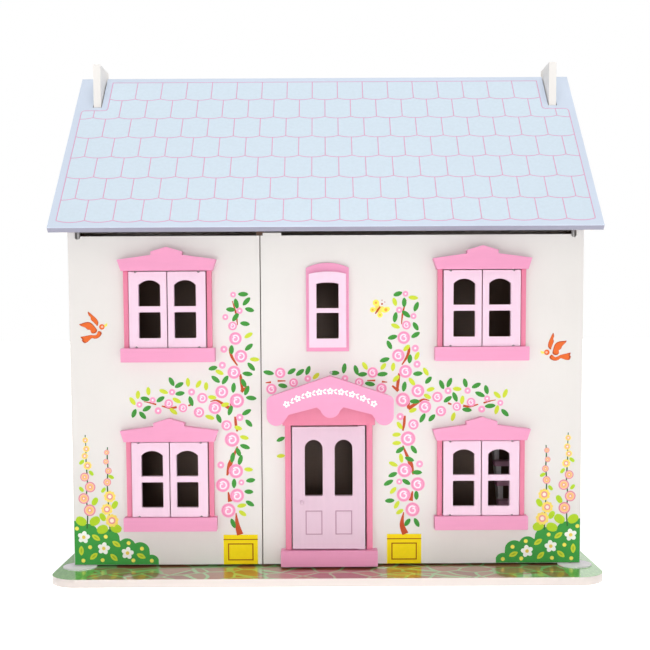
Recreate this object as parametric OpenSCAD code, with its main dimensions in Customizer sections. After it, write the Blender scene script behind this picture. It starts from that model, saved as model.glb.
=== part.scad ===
// Two-storey wooden dollhouse: a carcass of painted boards, two hinged front panels,
// a lift-up roof, eight window casements and a front door, all turning on steel pins.
// Origin: centre of the footprint, on the surface the base board stands on. -Y is the front.

/* [House] */
// Width over the outer faces of the side walls
house_w = 576; // [560:1:720]
// Depth from the front panels' faces to the back wall's rear face
house_d = 190.5; // [178:0.5:240]
// Clear height of each of the two storeys
storey_h = 185; // [184:1:240]
// Thickness of every carcass board
board_t = 9; // [8:0.5:12]
// Thickness of the two front panels
front_t = 9; // [8:0.5:12]
// Where the two front panels meet, from the middle of the house
split_x = -73.5; // [-82:0.5:-66]
// Gap between the two front panels
split_gap = 1.2; // [0.8:0.1:3]

/* [Base] */
// How far the base board reaches out at each side of the house
base_side = 17; // [12:0.5:40]
// How far the base board reaches out in front of the front panels
yard = 62; // [40:1:90]
// How far the base board reaches out behind the back wall
base_rear = 8; // [4:1:20]
// Radius of the base board's corners
base_corner = 32; // [10:1:38]

/* [Roof] */
// How far the roof panel reaches out at each side of the house
roof_side = 19; // [15:0.5:40]
// Thickness of the roof panel
roof_t = 7; // [5:0.5:10]
// Slope of the roof
roof_pitch = 46; // [38:0.5:54]
// How far the eave stands out in front of the front panels
eave_out = 16; // [15:0.5:24]
// Distance of the chimneys' outer faces inside the side walls' outer faces
gable_inset = 3; // [1:0.5:8]
// Width of a chimney along the side of the house
chimney_w = 51.5; // [40:0.5:70]
// Height of a chimney above the ridge
chimney_rise = 9; // [4:0.5:30]

/* [Front panels] */
// Distance from a panel's outer edge to its pivot pins
pivot_in = 11; // [8:0.5:14]
// Diameter of the front panels' pivot pins
pivot_d = 5; // [4:0.5:5.5]
// Gap between the top of the front panels and the attic floor
top_gap = 5.6; // [3:0.1:8]
// Width of the friction tab on the right panel
tab_w = 20.7; // [10:0.1:30]

/* [Windows] */
// Middle of the left windows
left_window_x = -176.7; // [-186:0.5:-168]
// Middle of the right windows
right_window_x = 173.7; // [150:0.5:200]
// Height of the lower casements above the base board
lower_window_z = 58.4; // [40:0.5:70]
// Height of the upper casements above the base board
upper_window_z = 249.2; // [230:0.5:262]
// Width of one casement
casement_w = 42.1; // [34:0.1:52]
// Height of a casement
casement_h = 84.4; // [70:0.2:96]
// Thickness of a casement
casement_t = 6; // [5:0.5:8]
// Distance from a casement's outer edge to its pins
casement_pin_in = 7.7; // [5:0.1:9]
// Diameter of the casement pins
casement_pin_d = 2.4; // [1.5:0.1:3]

/* [Front door] */
// Middle of the door
door_x = 2; // [-6:0.5:10]
// Width of the door
door_w = 81.8; // [68:0.2:100]
// Height of the door
door_h = 140; // [110:1:148]
// Thickness of the door
door_t = 8; // [6:0.5:10]
// Distance from the door's right edge to its pins
door_pin_in = 5.8; // [5:0.1:9]

/* [Fits] */
// Radial clearance of a pin that turns in wood
run_fit = 0.05; // [0.02:0.01:0.1]
// Radial clearance of a pin or screw that stays put
press_fit = 0.02; // [0.01:0.01:0.05]
// Least gap between boards that move past each other
swing_gap = 0.5; // [0.4:0.1:1.5]

/* [Hidden] */
$fn = 48;

cream = "#ece8e5";
rose = "#f19bc0";
dusty_rose = "#e0809f";
pale_pink = "#f1d2e3";
sky = "#dfecf7";
steel = "#9a9a9e";
eps = 0.01; // cuts run this far past the faces they open

// The carcass. Its own frame has y = 0 at the front panels' faces and z = 0 on the base board.
front_y = (yard - house_d - base_rear) / 2; // the panels' faces from the origin
back_y = house_d - board_t; // inner face of the back wall
half_w = house_w / 2;
base_w = house_w + 2 * base_side;
roof_w = house_w + 2 * roof_side;
floor_z = storey_h;
attic_z = 2 * storey_h + board_t; // underside of the attic floor
attic_top = attic_z + board_t;
inner_w = half_w - board_t;

// Pivots of the front panels
pivot_x = half_w - pivot_in;
pivot_y = front_t / 2;
pivot_sweep = sqrt(pivot_in * pivot_in + pivot_y * pivot_y);
carcass_y = pivot_y + pivot_sweep + swing_gap; // front edge of what stands behind a panel's corner
stop_y = front_t + swing_gap; // front edge of the boards that stop the panels
relief_x = pivot_x - pivot_sweep - swing_gap; // floors reach forward to stop_y inside this
panel_z = 2;
panel_top = attic_z - top_gap;
corner_top = attic_z - 1;
pin_in_board = 6; // depth of a pivot pin in the base board and the attic floor
pin_in_panel = 10;
notch_w = pivot_d + 1;
notch_h = 3.4;
washer_r = 19;
washer_t = 1.2;
washer_out = 4.5; // the washers lie this far outside the pins
washer_y = -1; // and their middle lies just in front of the panels' faces

// The roof. Its profile runs from the eave up to the ridge, where it meets the back wall.
slope = tan(roof_pitch);
leaf_t = 1;
ridge_y = back_y - leaf_t - swing_gap;
eave_cut_y = roof_t * sin(roof_pitch); // the square-cut edge leans back by this
eave_cut_z = roof_t * cos(roof_pitch);
roof_rise = attic_top + swing_gap - (eave_out - eave_cut_y) * slope; // underside where the eave ends
eave_z = roof_rise + eave_cut_z; // top edge of the eave
ridge_z = eave_z + (ridge_y + eave_out) * slope;
roof_v = roof_t / cos(roof_pitch); // thickness measured straight down
gable_out = half_w - gable_inset; // outer face of a gable
gable_in = gable_out - board_t;
chimney_y = house_d - chimney_w;
chimney_top = ridge_z + chimney_rise;
notch_gap = 1; // round a chimney where it passes through the roof
gable_drop = 0.6 / cos(roof_pitch); // a gable stays this far below the roof panel
function roof_under(y) = ridge_z - roof_v - (ridge_y - y) * slope;

// Roof hinges: butt hinges between the back wall's top edge and the roof panel's end
hinge_xs = [-180, 0, 180];
hinge_w = 40;
knuckle_r = 2.5;
knuckle_gap = 0.4;
hinge_pin_r = 1.1;
hinge_y = ridge_y + leaf_t + 2;
hinge_z = ridge_z - knuckle_r;
fixed_leaf_t = 1.5;
wall_top = hinge_z - knuckle_r - swing_gap;
moving_leaf_h = 8;
mid_knuckle_w = hinge_w * 0.4;
hinge_screw_dx = 12;

// Windows and their wood trim, from the panel's face outwards
trim_out = 12; // headers and sills stand out this far
jamb_out = 6;
casement_front = 9;
casement_pin_y = casement_t / 2 - casement_front;
casement_gap = 1.2; // between the two casements
casement_top_gap = 1;
casement_low_gap = 0.5;
pair_w = 2 * casement_w + casement_gap;
pin_radius_x = sqrt(casement_pin_in * casement_pin_in + casement_t * casement_t / 4);
reveal = pair_w / 2 - casement_pin_in + pin_radius_x + swing_gap; // half width of the window hole
opening_h = casement_h + casement_top_gap + casement_low_gap;
jamb_w = 5.5;
header_w = 2 * reveal + 14;
header_flare = 4;
sill_w = 2 * reveal + 17.4;
sill_h = 15.6;
casement_pin_len = 12; // half in the trim, half in the casement
outer_stile = 10.7;
inner_stile = 7;
top_rail = 9.3;
mid_rail = 6.6;
bottom_rail = 10.6;
pane_w = casement_w - outer_stile - inner_stile;
pane_h = (casement_h - top_rail - mid_rail - bottom_rail) / 2;
pane_arch = 5.4;
pane_corner = 1.2;

// Centre window: a fixed sash on a flat frame
centre_x = 1.6;
centre_w = 47.8;
centre_side_h = 93.1;
centre_arch = 5.6;
centre_z = upper_window_z - 5.1;
centre_t = 4;
sash_w = 41.6;
sash_h = 81.8; // up to where its arched top springs
sash_arch = 2.6;
sash_t = 6;
sash_z = centre_z + 4.4;
sash_pane_w = 24.8;
sash_bottom = 10;
sash_pane_h = 28.6;
sash_mid = 5.2;
sash_pane_arch = 1.6;

// Front door, its frame and its canopy
step_h = 18;
step_over = 5.3; // the step passes the jambs by this
step_out = 16;
door_front = 10;
door_foot_gap = 0.6; // under the door, so that its corners at the pins also turn clear of the panel
door_z = panel_z + step_h + door_foot_gap;
door_gap = 1.2; // above the door
nub_w = 8; // the door's corners at its pins stand this much closer to the frame
nub_h = 0.7;
door_pin_y = door_t / 2 - door_front;
door_pin_x = door_x + door_w / 2 - door_pin_in;
door_sweep = sqrt(door_pin_in * door_pin_in + door_t * door_t / 4);
door_left = door_x - door_w / 2;
door_hole_l = door_left - 1.2;
door_hole_r = door_pin_x + door_sweep + swing_gap;
door_top = door_z + door_h;
lintel_z = door_top + door_gap;
door_jamb_w = 6.8;
door_jamb_out = 7;
lintel_out = 14;
lintel_over = 2.5; // the lintel passes the jambs by this
lintel_clear = 0.02; // between the lintel and the canopy's roof boards
step_w = door_hole_r - door_hole_l + 2 * (door_jamb_w + step_over);
light_w = 20.2; // the door's two tall round-topped lights
light_bottom = 61;
light_top = 124.6;
light_dx = 16.8;
groove_w = 1.2;
groove_d = 0.8;
field_w = 19;
field_h = 27.5;
field_z = 17;
door_pin_d = 2.8;
door_pin_len = 14;
knob_in = 10.6; // the knob from the door's left edge
knob_z = 54;
knob_stem_r = 1.2;
canopy_x = 4;
canopy_out = 30;
fascia_t = 6;
canopy_w = 140;
canopy_z = lintel_z + 1.3; // bottom of the end lobes
lobe_r = 10.5;
shoulder_r = 6;
shoulder_h = 31; // of the sloping top edge, carried on to the canopy's end
apex_h = 54.6;
canopy_drop = (apex_h - shoulder_h) / (canopy_w / 2);
mid_lobe_r = 11;
mid_lobe_bottom = 8.4;
inner_corner = [46, 12];
inner_peak = [14.7, 20.2];
roof_board_t = 5;
board_top = apex_h - 0.6; // the roof boards lie this little below the fascia's top edge

// Inside
doorway_w = 62;
doorway_h = 140;
doorway_y = 60;
stair_w = 76;
stair_steps = 8;
stair_going = 15;
tread_d = 17;
tread_t = 6;
stringer_t = 6;
stair_y = carcass_y + 6;
stair_x = inner_w - stair_w; // left side of the stairs
stair_rise = (floor_z + board_t) / (stair_steps + 1);
stair_back = stair_y + stair_steps * stair_going;

// Fasteners
screw_r = 1.5;
screw_head_r = 3;
screw_head_h = 1.8;
screw_len = 24;
small_screw_r = 0.8;
small_head_r = 1.6;
dowel_r = 3;
dowel_len = 16;
screw_ys = [carcass_y + 28, back_y - 28];
screw_y_mid = back_y + board_t / 2;
back_screw_x = half_w * 0.6;
floor_edge_z = floor_z + board_t / 2;
dowel_ys = [60, 120];

// Puts a piece drawn in the carcass frame into the object's own frame
module sited() {
    translate([0, front_y, board_t]) children();
}

// A plate standing upright across the house, drawn as width and height, from y0 to y1
module upright(y0, y1) {
    translate([0, y1, 0]) rotate([90, 0, 0]) linear_extrude(y1 - y0) children();
}

// A plate standing upright along the house, drawn as depth and height, from x0 to x1
module sideways(x0, x1) {
    translate([x0, 0, 0]) rotate([90, 0, 90]) linear_extrude(x1 - x0) children();
}

// A board from one corner to the opposite one
module board(a, b) {
    translate(a) cube(b - a);
}

// Points of an arc round c, from angle a0 to a1
function arc(c, r, a0, a1, n = 14) = [
    for (i = [0:n]) let (a = a0 + (a1 - a0) * i / n) c + r * [cos(a), sin(a)]
];

// Rectangle with a low arch on top: width w, height h up to the springing, rise of the arch r
module arched(w, h, r) {
    big = (w * w / 4 + r * r) / (2 * r);
    translate([-w / 2, 0]) square([w, h]);
    intersection() {
        translate([0, h + r - big]) circle(big, $fn = 96);
        translate([-w / 2, h - eps]) square([w, r + 2 * eps]);
    }
}

// Rectangle with rounded corners, centred on x, standing on y = 0
module rounded(w, h, r) {
    translate([-w / 2, r]) square([w, h - 2 * r]);
    translate([r - w / 2, 0]) square([w - 2 * r, h]);
    for (x = [r - w / 2, w / 2 - r], y = [r, h - r]) translate([x, y]) circle(r);
}

// Countersunk screw along -Z with its flat head in z = 0, or the hole for it with a clearance
module screw(len, r, head_r, head_h, clear = 0) {
    translate([0, 0, -len]) cylinder(r = r + clear, h = len + (clear > 0 ? eps : 0));
    translate([0, 0, -head_h]) cylinder(r1 = r + clear, r2 = head_r + clear, h = head_h);
    if (clear > 0) cylinder(r = head_r + clear, h = 1);
}

module wood_screw(clear = 0) {
    screw(screw_len, screw_r, screw_head_r, screw_head_h, clear);
}

// Screws of the carcass: up through the base, in through the side and back walls to the first
// floor's edges, and down through the attic floor. On the right they stay behind the stairwell.
module carcass_screw_set(clear = 0) {
    for (side = [-1, 1]) {
        x = side * (half_w - board_t / 2);
        for (y = screw_ys) {
            translate([x, y, -board_t]) rotate([180, 0, 0]) wood_screw(clear);
            translate([x, y, attic_top]) wood_screw(clear);
        }
        for (y = side < 0 ? screw_ys : [back_y - 28, back_y - 10]) {
            translate([side * half_w, y, floor_edge_z]) rotate([0, side * 90, 0]) wood_screw(clear);
        }
        translate([side * back_screw_x, screw_y_mid, -board_t]) rotate([180, 0, 0]) wood_screw(clear);
        translate([side * back_screw_x, house_d, floor_edge_z]) rotate([-90, 0, 0]) wood_screw(clear);
    }
    for (y = screw_ys) translate([split_x, y, -board_t]) rotate([180, 0, 0]) wood_screw(clear);
}

// Dowels that hold the gables and the upper back wall on the attic floor
module gable_dowel_set(clear = 0) {
    z = attic_top - dowel_len / 2;
    for (x = [-1, 1]) {
        for (y = dowel_ys) {
            translate([x * (gable_in + dowel_r + 0.5), y, z + 2 - clear])
                cylinder(r = dowel_r + clear, h = dowel_len + 2 * clear);
        }
        translate([x * 150, screw_y_mid, z + 2 - clear])
            cylinder(r = dowel_r + clear, h = dowel_len + 2 * clear);
    }
}

// Pins that a front panel turns on, or the holes for them
module pivot_pin_set(clear = 0) {
    for (x = [-pivot_x, pivot_x]) {
        translate([x, pivot_y, -pin_in_board - clear])
            cylinder(d = pivot_d + 2 * clear, h = pin_in_board + panel_z + pin_in_panel + 2 * clear);
        translate([x, pivot_y, panel_top - notch_h - pin_in_panel - clear])
            cylinder(d = pivot_d + 2 * clear,
                     h = attic_z + pin_in_board - panel_top + notch_h + pin_in_panel + 2 * clear);
    }
}

module base_board() sited() color("#d9e2c8") {
    y0 = -yard;
    y1 = house_d + base_rear;
    difference() {
        translate([0, y0, -board_t]) linear_extrude(board_t) rounded(base_w, y1 - y0, base_corner);
        pivot_pin_set(press_fit);
        carcass_screw_set(press_fit);
    }
}

module side_wall(side) sited() color(cream) difference() {
    sideways(side > 0 ? inner_w : -half_w, side > 0 ? half_w : -inner_w)
        translate([carcass_y, 0]) square([back_y - carcass_y, attic_z]);
    carcass_screw_set(press_fit);
}

module left_side_wall() side_wall(-1);
module right_side_wall() side_wall(1);

module lower_back_wall() sited() color(cream) difference() {
    board([-half_w, back_y, 0], [half_w, house_d, attic_z]);
    carcass_screw_set(press_fit);
}

module upper_back_wall() sited() color(cream) difference() {
    board([-gable_in, back_y, attic_top], [gable_in, house_d, wall_top]);
    gable_dowel_set(press_fit);
    wall_screw_set(press_fit);
}

// Outline of a floor that clears the front panels' corners, seen from above
module floor_outline() {
    polygon([[-inner_w, carcass_y], [-relief_x, carcass_y], [-relief_x, stop_y],
             [relief_x, stop_y], [relief_x, carcass_y], [inner_w, carcass_y],
             [inner_w, back_y], [-inner_w, back_y]]);
}

module first_floor() sited() color(cream) difference() {
    translate([0, 0, floor_z]) linear_extrude(board_t) floor_outline();
    board([stair_x - 2, 0, floor_z - 1], [inner_w + 1, stair_back, floor_z + board_t + 1]);
    carcass_screw_set(press_fit);
}

module attic_floor() sited() color(cream) difference() {
    board([-roof_w / 2 + 4, 0, attic_z], [roof_w / 2 - 4, house_d, attic_top]);
    pivot_pin_set(press_fit);
    carcass_screw_set(press_fit);
    gable_dowel_set(press_fit);
}

module partition(z) color(cream) sited() difference() {
    sideways(split_x - board_t / 2, split_x + board_t / 2) difference() {
        translate([stop_y, z]) square([back_y - stop_y, storey_h]);
        translate([doorway_y + doorway_w / 2, z - 1]) arched(doorway_w, doorway_h - 10, 12);
    }
    carcass_screw_set(press_fit);
}

module ground_partition() partition(0);
module upper_partition() partition(floor_z + board_t);

// Gable with its chimney: a triangle under the roof panel that runs on up past the ridge
module gable(side) sited() color(cream) difference() {
    foot_y = 12;
    x0 = side > 0 ? gable_in : -gable_out;
    sideways(x0, x0 + board_t) polygon([
        [foot_y, attic_top], [foot_y, roof_under(foot_y) - gable_drop],
        [chimney_y, roof_under(chimney_y) - gable_drop], [chimney_y, chimney_top],
        [house_d, chimney_top], [house_d, attic_top]
    ]);
    gable_dowel_set(press_fit);
}

module left_gable() gable(-1);
module right_gable() gable(1);

// Stringers: two sawtooth boards under the treads, rising from the front to the back
module stair_stringers() sited() color("#f3f0ee") {
    drop = 26;
    foot = 14;
    steps = [for (i = [0:stair_steps - 1]) each [
        [stair_y + i * stair_going, (i + 1) * stair_rise - tread_t],
        [stair_y + (i + 1) * stair_going, (i + 1) * stair_rise - tread_t]
    ]];
    for (x = [stair_x + 2, inner_w - stringer_t - 2]) {
        sideways(x, x + stringer_t) polygon(concat(
            [[stair_y, 0]], steps,
            [[stair_back, stair_steps * stair_rise - drop], [stair_y + foot, 0]]
        ));
    }
}

module stair_treads() sited() color("#d9a3bd") {
    for (i = [1:stair_steps]) {
        y = stair_y + i * stair_going - tread_d;
        board([stair_x, y, i * stair_rise - tread_t],
              [inner_w - 1, y + tread_d, i * stair_rise]);
    }
}

module carcass_screws() sited() color(steel) carcass_screw_set();

module gable_dowels() sited() color("#d8b98a") gable_dowel_set();

module front_pivot_pins() sited() color(steel) pivot_pin_set();

module pivot_washers() sited() color("#f2eef2") difference() {
    for (x = [-1, 1]) {
        translate([x * (pivot_x + washer_out), washer_y, 0]) cylinder(r = washer_r, h = washer_t);
    }
    for (x = [-1, 1]) {
        translate([x * pivot_x, pivot_y, -1]) cylinder(d = pivot_d + 2 * press_fit, h = washer_t + 2);
        board([x * half_w - washer_r, carcass_y - swing_gap, -1],
              [x * half_w + washer_r, carcass_y + washer_r, washer_t + 1]);
    }
}

// One knuckle of a roof hinge, from x0 to x1
module knuckle(x0, x1) {
    translate([x0, hinge_y, hinge_z]) rotate([0, 90, 0]) cylinder(r = knuckle_r, h = x1 - x0);
}

module hinge_pin_set(clear = 0) {
    for (x = hinge_xs) {
        translate([x - hinge_w / 2 - clear, hinge_y, hinge_z]) rotate([0, 90, 0])
            cylinder(r = hinge_pin_r + clear, h = hinge_w + 2 * clear);
    }
}

// Screws down through the fixed leaves, or their holes
module wall_screw_set(clear = 0) {
    for (x = hinge_xs, dx = [-hinge_screw_dx, hinge_screw_dx]) {
        translate([x + dx, house_d - board_t / 2 + 1.6, wall_top + fixed_leaf_t])
            screw(10, small_screw_r, small_head_r, 0.8, clear);
    }
}

// Screws through the moving leaves into the roof panel's end, or their holes
module roof_screw_set(clear = 0) {
    for (x = hinge_xs, dx = [-hinge_screw_dx, hinge_screw_dx]) {
        translate([x + dx, ridge_y + leaf_t, ridge_z - roof_v * 0.62]) rotate([-90, 0, 0])
            screw(5, small_screw_r, small_head_r, 0.8, clear);
    }
}

module roof_hinge_fixed_leaves() sited() color(steel) difference() {
    for (x = hinge_xs) {
        board([x - hinge_w / 2, hinge_y, wall_top], [x + hinge_w / 2, house_d, wall_top + fixed_leaf_t]);
        knuckle(x - hinge_w / 2, x - mid_knuckle_w / 2 - knuckle_gap);
        knuckle(x + mid_knuckle_w / 2 + knuckle_gap, x + hinge_w / 2);
    }
    for (x = hinge_xs) {
        board([x - mid_knuckle_w / 2 - knuckle_gap, hinge_y - 5, wall_top - 1],
              [x + mid_knuckle_w / 2 + knuckle_gap, hinge_y + knuckle_r + 0.8, wall_top + 5]);
    }
    hinge_pin_set(press_fit);
    wall_screw_set(press_fit);
}

module roof_hinge_pins() sited() color(steel) hinge_pin_set();

module wall_hinge_screws() sited() color(steel) wall_screw_set();

module roof_hinge_moving_leaves() sited() color(steel) difference() {
    for (x = hinge_xs) {
        board([x - hinge_w / 2, ridge_y, hinge_z - moving_leaf_h],
              [x + hinge_w / 2, ridge_y + leaf_t, hinge_z - knuckle_r]);
        board([x - mid_knuckle_w / 2, ridge_y, hinge_z - knuckle_r - 1],
              [x + mid_knuckle_w / 2, ridge_y + leaf_t, hinge_z]);
        knuckle(x - mid_knuckle_w / 2, x + mid_knuckle_w / 2);
    }
    hinge_pin_set(run_fit);
    roof_screw_set(press_fit);
}

module roof_hinge_screws() sited() color(steel) roof_screw_set();

// Roof panel: one board from eave to ridge, notched round the two chimneys
module roof_panel() sited() color(sky) difference() {
    sideways(-roof_w / 2, roof_w / 2) polygon([
        [-eave_out, eave_z], [ridge_y, ridge_z], [ridge_y, ridge_z - roof_v],
        [eave_cut_y - eave_out, eave_z - eave_cut_z]
    ]);
    for (x = [-1, 1]) {
        board([x > 0 ? gable_in - notch_gap : -gable_out - notch_gap, chimney_y - notch_gap,
               roof_under(chimney_y) - 20],
              [x > 0 ? gable_out + notch_gap : -gable_in + notch_gap, ridge_y + 1, ridge_z + 1]);
    }
    roof_screw_set(press_fit);
}

// The hole behind one pair of casements
module window_hole(x, z) {
    translate([x - reveal, z - casement_low_gap]) square([2 * reveal, opening_h]);
}

// Holes for the eight pins of the two windows in a panel's trim and casements
module casement_pin_set(x, clear = 0) {
    for (side = [-1, 1], z = [lower_window_z, upper_window_z]) {
        translate([x + side * (pair_w / 2 - casement_pin_in), casement_pin_y, 0]) {
            translate([0, 0, z - casement_pin_len / 2 - clear])
                cylinder(d = casement_pin_d + 2 * clear, h = casement_pin_len + 2 * clear);
            translate([0, 0, z + casement_h - casement_pin_len / 2 - clear])
                cylinder(d = casement_pin_d + 2 * clear, h = casement_pin_len + 2 * clear);
        }
    }
}

// A front panel's outline with its raised hinge corner; side is -1 for the left one
module panel_outline(x0, x1, side) {
    translate([x0, panel_z]) square([x1 - x0, panel_top - panel_z]);
    outer = side * half_w;
    inner = side * (pivot_x + notch_w / 2);
    translate([min(outer, inner), panel_top - eps])
        square([abs(outer - inner), corner_top - panel_top + eps]);
}

// The notch that shows the upper pivot pin, open upwards with a round bottom
module pivot_notch(side) {
    translate([side * pivot_x, panel_top - notch_h + notch_w / 2]) circle(d = notch_w);
    translate([side * pivot_x - notch_w / 2, panel_top - notch_h + notch_w / 2]) square([notch_w, 20]);
}

module left_front_panel() sited() color(cream) difference() {
    upright(0, front_t) difference() {
        panel_outline(-half_w, split_x - split_gap / 2, -1);
        pivot_notch(-1);
        for (z = [lower_window_z, upper_window_z]) window_hole(left_window_x, z);
    }
    pivot_pin_set(run_fit);
}

module right_front_panel() sited() color(cream) difference() {
    tab_x = split_x + split_gap / 2 + 2.6;
    upright(0, front_t) difference() {
        union() {
            panel_outline(split_x + split_gap / 2, half_w, 1);
            translate([tab_x, panel_top - eps]) square([tab_w, 3.1]);
        }
        pivot_notch(1);
        for (z = [lower_window_z, upper_window_z]) window_hole(right_window_x, z);
        translate([door_hole_l, door_z - door_foot_gap])
            square([door_hole_r - door_hole_l, door_foot_gap + door_h + door_gap]);
        translate([centre_x - sash_pane_w / 2, sash_z + sash_bottom])
            square([sash_pane_w, 2 * sash_pane_h + sash_mid]);
    }
    pivot_pin_set(run_fit);
    nail_cut(press_fit);
}

// Header with flared ends and a small pediment in the middle
module window_header(x, z) sited() color(rose) difference() {
    w = header_w / 2;
    t = w + header_flare;
    translate([x, 0, z + casement_h + casement_top_gap]) upright(-trim_out, 0) polygon([
        [-w, 0], [w, 0], [t, 12.3], [17.3, 17.3], [17.3, 21.2], [0, 26.2],
        [-17.3, 21.2], [-17.3, 17.3], [-t, 12.3]
    ]);
    casement_pin_set(x, press_fit);
}

module window_sill(x, z) sited() color(rose) difference() {
    translate([x, 0, z - casement_low_gap - sill_h]) upright(-trim_out, 0)
        rounded(sill_w, sill_h, 1);
    casement_pin_set(x, press_fit);
}

module window_jambs(x, z) sited() color(dusty_rose) {
    for (side = [-1, 1]) {
        x0 = x + side * (reveal + jamb_w / 2) - jamb_w / 2;
        board([x0, -jamb_out, z - casement_low_gap],
              [x0 + jamb_w, 0, z + casement_h + casement_top_gap]);
    }
}

module upper_left_header() window_header(left_window_x, upper_window_z);
module upper_left_jambs() window_jambs(left_window_x, upper_window_z);
module upper_left_sill() window_sill(left_window_x, upper_window_z);
module lower_left_header() window_header(left_window_x, lower_window_z);
module lower_left_jambs() window_jambs(left_window_x, lower_window_z);
module lower_left_sill() window_sill(left_window_x, lower_window_z);
module upper_right_header() window_header(right_window_x, upper_window_z);
module upper_right_jambs() window_jambs(right_window_x, upper_window_z);
module upper_right_sill() window_sill(right_window_x, upper_window_z);
module lower_right_header() window_header(right_window_x, lower_window_z);
module lower_right_jambs() window_jambs(right_window_x, lower_window_z);
module lower_right_sill() window_sill(right_window_x, lower_window_z);

module left_casement_pins() sited() color(steel) casement_pin_set(left_window_x);
module right_casement_pins() sited() color(steel) casement_pin_set(right_window_x);

// One casement; side is -1 for the left one of a pair, which has its pins at its left
module casement(x, z, side) sited() color(pale_pink) difference() {
    middle = x + side * (casement_gap / 2 + casement_w / 2);
    pane_x = side * (inner_stile - outer_stile) / 2;
    notch_r = casement_pin_d / 2 + 0.4;
    translate([middle, 0, z]) upright(-casement_front, casement_t - casement_front) difference() {
        rounded(casement_w, casement_h, 0.8);
        translate([pane_x, bottom_rail]) rounded(pane_w, pane_h, pane_corner);
        translate([pane_x, bottom_rail + pane_h + mid_rail]) arched(pane_w, pane_h - pane_arch, pane_arch);
        for (y = [0, casement_h]) {
            translate([side * (casement_w / 2 - casement_pin_in), y]) circle(notch_r);
        }
    }
    casement_pin_set(x, run_fit);
}

module upper_left_casement_l() casement(left_window_x, upper_window_z, -1);
module upper_left_casement_r() casement(left_window_x, upper_window_z, 1);
module lower_left_casement_l() casement(left_window_x, lower_window_z, -1);
module lower_left_casement_r() casement(left_window_x, lower_window_z, 1);
module upper_right_casement_l() casement(right_window_x, upper_window_z, -1);
module upper_right_casement_r() casement(right_window_x, upper_window_z, 1);
module lower_right_casement_l() casement(right_window_x, lower_window_z, -1);
module lower_right_casement_r() casement(right_window_x, lower_window_z, 1);

// The two panes of the centre window, from the middle of its bottom edge
module sash_panes() {
    translate([0, sash_bottom]) rounded(sash_pane_w, sash_pane_h, pane_corner);
    translate([0, sash_bottom + sash_pane_h + sash_mid])
        arched(sash_pane_w, sash_pane_h - sash_pane_arch, sash_pane_arch);
}

module centre_window_frame() sited() color(rose) {
    translate([centre_x, 0, 0]) upright(-centre_t, 0) difference() {
        translate([0, centre_z]) arched(centre_w, centre_side_h, centre_arch);
        translate([-sash_pane_w / 2, sash_z + sash_bottom])
            square([sash_pane_w, 2 * sash_pane_h + sash_mid]);
    }
}

module centre_window_sash() sited() color(pale_pink) {
    translate([centre_x, 0, sash_z]) upright(-centre_t - sash_t, -centre_t) difference() {
        arched(sash_w, sash_h, sash_arch);
        sash_panes();
    }
}

// Front outline of the canopy: a low gable with rounded shoulders, end lobes and a middle lobe
module fascia_outline() {
    l = canopy_w / 2;
    tilt = atan(canopy_drop);
    shoulder_z = apex_h - canopy_drop * (l - shoulder_r) - shoulder_r / cos(tilt);
    half = concat(
        [[0, apex_h]],
        arc([l - shoulder_r, shoulder_z], shoulder_r, 90 - tilt, 0),
        arc([l - lobe_r, lobe_r], lobe_r, 0, -150),
        [inner_corner, inner_peak],
        arc([0, mid_lobe_bottom + mid_lobe_r], mid_lobe_r, -15, -90)
    );
    polygon(concat(half, [for (i = [len(half) - 2:-1:1]) [-half[i][0], half[i][1]]]));
}

module canopy_fascia() sited() color(rose) {
    translate([canopy_x, 0, canopy_z]) upright(-canopy_out, fascia_t - canopy_out) fascia_outline();
}

// Two boards that slope from the apex down to the ends, between the fascia and the panel
module canopy_roof_boards() sited() color(rose) {
    l = canopy_w / 2 - 5;
    for (side = [-1, 1]) {
        translate([canopy_x, 0, canopy_z]) upright(fascia_t - canopy_out, 0) polygon([
            [0, board_top], [side * l, board_top - l * canopy_drop],
            [side * l, board_top - l * canopy_drop - roof_board_t], [0, board_top - roof_board_t]
        ]);
    }
}

// Nail above the canopy that helps to hold it to the panel, or the hole for it
module nail_cut(clear = 0) {
    translate([canopy_x + 1, 0, canopy_z + apex_h + 2.4]) rotate([90, 0, 0]) {
        translate([0, 0, -6]) cylinder(r = 0.9 + clear, h = 6 + clear);
        if (clear == 0) cylinder(r = 1.7, h = 1);
    }
}

module canopy_nail() sited() color("#5c5a5a") nail_cut();

module door_pin_set(clear = 0) {
    for (z = [door_z, door_top]) {
        translate([door_pin_x, door_pin_y, z - door_pin_len / 2 - clear])
            cylinder(d = door_pin_d + 2 * clear, h = door_pin_len + 2 * clear);
    }
}

// Lintel under the canopy, cut to the slope of the roof boards
module door_lintel() sited() color(dusty_rose) difference() {
    l = door_hole_l - door_jamb_w - lintel_over;
    r = door_hole_r + door_jamb_w + lintel_over;
    under = canopy_z + board_top - roof_board_t - lintel_clear;
    upright(-lintel_out, 0) polygon([
        [l, lintel_z], [r, lintel_z], [r, under - (r - canopy_x) * canopy_drop], [canopy_x, under],
        [l, under - (canopy_x - l) * canopy_drop]
    ]);
    door_pin_set(press_fit);
}

module door_jambs() sited() color(dusty_rose) {
    z0 = panel_z + step_h;
    board([door_hole_l - door_jamb_w, -door_jamb_out, z0], [door_hole_l, 0, lintel_z]);
    board([door_hole_r, -door_jamb_out, z0], [door_hole_r + door_jamb_w, 0, lintel_z]);
}

module door_step() sited() color(rose) difference() {
    middle = (door_hole_l + door_hole_r) / 2;
    translate([middle, 0, panel_z]) upright(-step_out, 0) rounded(step_w, step_h, 1);
    door_pin_set(press_fit);
}

module door_pins() sited() color(steel) door_pin_set();

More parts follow.
